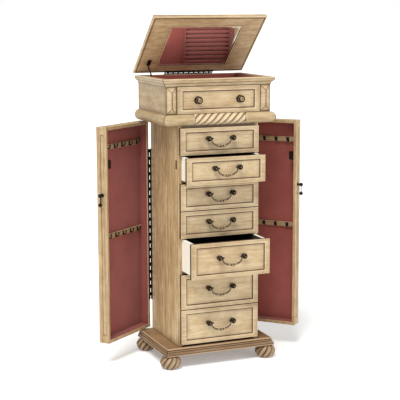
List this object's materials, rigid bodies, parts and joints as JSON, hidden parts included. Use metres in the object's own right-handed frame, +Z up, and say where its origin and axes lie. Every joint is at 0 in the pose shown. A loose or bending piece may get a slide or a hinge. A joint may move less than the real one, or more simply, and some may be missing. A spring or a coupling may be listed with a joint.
{
  "type": "jewelry armoire",
  "caption": "Free-standing jewelry chest with drawers, two hinged tray doors with hook rails, and a lined top compartment under a mirrored lid, on bun feet.",
  "frame": {"origin": "on the floor, midway between the four feet", "axes": "+X to the right seen from the front, +Y from the front to the back, +Z up"},
  "size_m": [0.7692, 0.4306, 1.2266],
  "materials": {
    "antiqued_wood": "antique parchment over oak, brown glaze in the grooves, satin",
    "painted_wood": "cream painted drawer box",
    "felt": "dusty red flocked felt",
    "aged_bronze": "dark antique bronze, rubbed bright on the high spots",
    "hinge_steel": "black plated steel",
    "mirror_glass": "silvered glass with a bevelled edge"
  },
  "bodies": {
    "cabinet": {"bun_feet": "antiqued_wood", "plinth_moulding": "antiqued_wood", "plinth_board": "antiqued_wood", "left_side_panel": "antiqued_wood", "right_side_panel": "antiqued_wood", "back_panel": "antiqued_wood", "drawer_runners": "antiqued_wood", "waist_moulding": "antiqued_wood", "rope_carving": "antiqued_wood", "upper_case": "antiqued_wood", "cornice_moulding": "antiqued_wood", "false_drawer_front": "antiqued_wood", "top_knobs": "aged_bronze", "tray_lining": "felt", "ring_rolls": "felt", "cabinet_hinge_leaves": "hinge_steel", "catch_strikes": "hinge_steel", "stay_plate": "hinge_steel"},
    "left_door": {"left_door_case": "antiqued_wood", "left_door_lining": "felt", "left_hook_rails": "antiqued_wood", "left_door_fittings": "aged_bronze"},
    "left_drop": {"left_door_drop": "aged_bronze"},
    "right_door": {"right_door_case": "antiqued_wood", "right_door_lining": "felt", "right_hook_rails": "antiqued_wood", "right_door_fittings": "aged_bronze"},
    "right_drop": {"right_door_drop": "aged_bronze"},
    "lid": {"lid_frame": "antiqued_wood", "lid_mirror": "mirror_glass", "lid_fittings": "hinge_steel"},
    "lid_stay": {"lid_stay_arm": "hinge_steel"},
    "drawer_1": {"drawer_1_front": "antiqued_wood", "drawer_1_box": "painted_wood", "drawer_1_posts": "aged_bronze"},
    "bail_1": {"drawer_1_bail": "aged_bronze"},
    "drawer_2": {"drawer_2_front": "antiqued_wood", "drawer_2_box": "painted_wood", "drawer_2_posts": "aged_bronze"},
    "bail_2": {"drawer_2_bail": "aged_bronze"},
    "drawer_3": {"drawer_3_front": "antiqued_wood", "drawer_3_box": "painted_wood", "drawer_3_posts": "aged_bronze"},
    "bail_3": {"drawer_3_bail": "aged_bronze"},
    "drawer_4": {"drawer_4_front": "antiqued_wood", "drawer_4_box": "painted_wood", "drawer_4_posts": "aged_bronze"},
    "bail_4": {"drawer_4_bail": "aged_bronze"},
    "drawer_5": {"drawer_5_front": "antiqued_wood", "drawer_5_box": "painted_wood", "drawer_5_posts": "aged_bronze"},
    "bail_5": {"drawer_5_bail": "aged_bronze"},
    "drawer_6": {"drawer_6_front": "antiqued_wood", "drawer_6_box": "painted_wood", "drawer_6_posts": "aged_bronze"},
    "bail_6": {"drawer_6_bail": "aged_bronze"},
    "drawer_7": {"drawer_7_front": "antiqued_wood", "drawer_7_box": "painted_wood", "drawer_7_posts": "aged_bronze"},
    "bail_7": {"drawer_7_bail": "aged_bronze"}
  },
  "joints": [
    {"name": "left_door_hinge", "type": "hinge", "parent": "cabinet", "child": "left_door", "pos_m": [-0.15075, 0.1511, 0.463], "axis": [0, 0, -1], "range_deg": [-53, 57]},
    {"name": "right_door_hinge", "type": "hinge", "parent": "cabinet", "child": "right_door", "pos_m": [0.15075, 0.1511, 0.463], "axis": [0, 0, 1], "range_deg": [-42, 68]},
    {"name": "left_drop_swing", "type": "hinge", "parent": "left_door", "child": "left_drop", "pos_m": [-0.39452, -0.00911, 0.609], "axis": [-0.6018, 0.7986, 0], "range_deg": [0, 90]},
    {"name": "right_drop_swing", "type": "hinge", "parent": "right_door", "child": "right_drop", "pos_m": [0.35947, -0.05268, 0.609], "axis": [-0.7431, -0.6691, 0], "range_deg": [0, 90]},
    {"name": "lid_hinge", "type": "hinge", "parent": "cabinet", "child": "lid", "pos_m": [0, 0.153, 1.011], "axis": [-1, 0, 0], "range_deg": [-43, 2]},
    {"name": "stay_pivot", "type": "hinge", "parent": "lid", "child": "lid_stay", "pos_m": [-0.1775, 0.10142, 1.04953], "axis": [-1, 0, 0], "range_deg": [-5, 76]},
    {"name": "drawer_1_slide", "type": "slide", "parent": "cabinet", "child": "drawer_1", "axis": [0, -1, 0], "range_m": [0, 0.19]},
    {"name": "bail_1_swing", "type": "hinge", "parent": "drawer_1", "child": "bail_1", "pos_m": [0, -0.1495, 0.806], "axis": [-1, 0, 0], "range_deg": [0, 90]},
    {"name": "drawer_2_slide", "type": "slide", "parent": "cabinet", "child": "drawer_2", "axis": [0, -1, 0], "range_m": [-0.055, 0.135]},
    {"name": "bail_2_swing", "type": "hinge", "parent": "drawer_2", "child": "bail_2", "pos_m": [0, -0.2045, 0.71], "axis": [-1, 0, 0], "range_deg": [0, 90]},
    {"name": "drawer_3_slide", "type": "slide", "parent": "cabinet", "child": "drawer_3", "axis": [0, -1, 0], "range_m": [0, 0.19]},
    {"name": "bail_3_swing", "type": "hinge", "parent": "drawer_3", "child": "bail_3", "pos_m": [0, -0.1495, 0.614], "axis": [-1, 0, 0], "range_deg": [0, 90]},
    {"name": "drawer_4_slide", "type": "slide", "parent": "cabinet", "child": "drawer_4", "axis": [0, -1, 0], "range_m": [0, 0.19]},
    {"name": "bail_4_swing", "type": "hinge", "parent": "drawer_4", "child": "bail_4", "pos_m": [0, -0.1495, 0.518], "axis": [-1, 0, 0], "range_deg": [0, 90]},
    {"name": "drawer_5_slide", "type": "slide", "parent": "cabinet", "child": "drawer_5", "axis": [0, -1, 0], "range_m": [-0.094, 0.096]},
    {"name": "bail_5_swing", "type": "hinge", "parent": "drawer_5", "child": "bail_5", "pos_m": [0, -0.2435, 0.407], "axis": [-1, 0, 0], "range_deg": [0, 90]},
    {"name": "drawer_6_slide", "type": "slide", "parent": "cabinet", "child": "drawer_6", "axis": [0, -1, 0], "range_m": [0, 0.19]},
    {"name": "bail_6_swing", "type": "hinge", "parent": "drawer_6", "child": "bail_6", "pos_m": [0, -0.1495, 0.281], "axis": [-1, 0, 0], "range_deg": [0, 90]},
    {"name": "drawer_7_slide", "type": "slide", "parent": "cabinet", "child": "drawer_7", "axis": [0, -1, 0], "range_m": [0, 0.19]},
    {"name": "bail_7_swing", "type": "hinge", "parent": "drawer_7", "child": "bail_7", "pos_m": [0, -0.1495, 0.155], "axis": [-1, 0, 0], "range_deg": [0, 90]}
  ],
  "couplings": [
    {"joint": "stay_pivot", "follows": "lid_hinge", "ratio": -1.7316}
  ]
}
